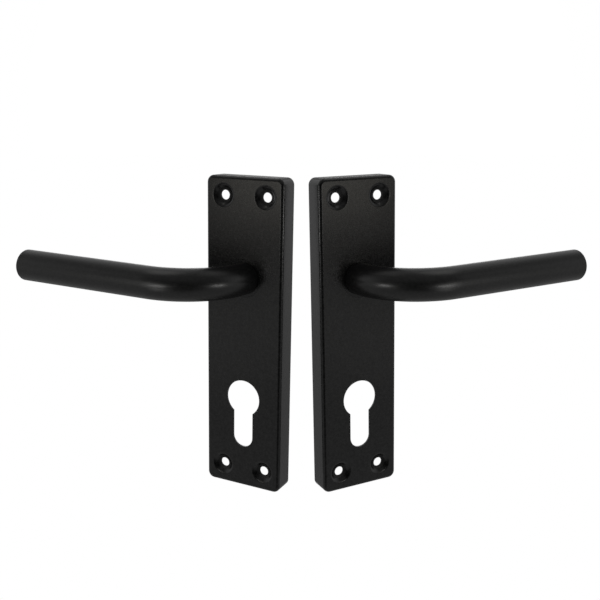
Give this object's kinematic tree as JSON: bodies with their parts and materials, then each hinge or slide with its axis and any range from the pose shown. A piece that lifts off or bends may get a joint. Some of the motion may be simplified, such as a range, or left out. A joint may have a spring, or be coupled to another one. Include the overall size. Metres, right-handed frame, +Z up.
{
  "type": "lever handle lockset",
  "caption": "Door lever handles: sprung round-bar levers on slim rectangular backplates with dished screw holes and a profile cylinder cut-out, coated black.",
  "frame": {"origin": "middle of the pair's lowest level, halfway between the two halves", "axes": "+X from the left half to the right half, +Y from the levers towards the backs, +Z up"},
  "size_m": [0.2716, 0.0486, 0.152],
  "materials": {
    "black_coating": "satin",
    "black_nylon": "matte",
    "spring_steel": "oiled wire",
    "plated_steel": "zinc plated",
    "bright_steel": "bright"
  },
  "bodies": {
    "backplates": {"backplate_left": "black_coating", "neck_bush_left": "black_nylon", "return_spring_left": "spring_steel", "spring_cover_left": "plated_steel", "backplate_right": "black_coating", "neck_bush_right": "black_nylon", "return_spring_right": "spring_steel", "spring_cover_right": "plated_steel", "cover_screw_left_1": "bright_steel", "cover_screw_left_2": "bright_steel", "cover_screw_left_3": "bright_steel", "cover_screw_right_1": "bright_steel", "cover_screw_right_2": "bright_steel", "cover_screw_right_3": "bright_steel"},
    "left_lever": {"lever_left": "black_coating", "thrust_washer_left": "bright_steel", "drive_plate_left": "plated_steel", "circlip_left": "spring_steel"},
    "right_lever": {"lever_right": "black_coating", "thrust_washer_right": "bright_steel", "drive_plate_right": "plated_steel", "circlip_right": "spring_steel"}
  },
  "joints": [
    {"name": "left_lever_turn", "type": "hinge", "parent": "backplates", "child": "left_lever", "pos_m": [-0.02693, 0.00125, 0.10477], "axis": [-0.4367, -0.8996, 0.0099], "range_deg": [0, 45], "stiffness_Nm_per_rad": 0.6, "springref_deg": -45.84, "deforming": ["return_spring_left"]},
    {"name": "right_lever_turn", "type": "hinge", "parent": "backplates", "child": "right_lever", "pos_m": [0.02693, 0.00125, 0.10477], "axis": [-0.4367, 0.8996, -0.0099], "range_deg": [0, 45], "stiffness_Nm_per_rad": 0.6, "springref_deg": -45.84, "deforming": ["return_spring_right"]}
  ]
}
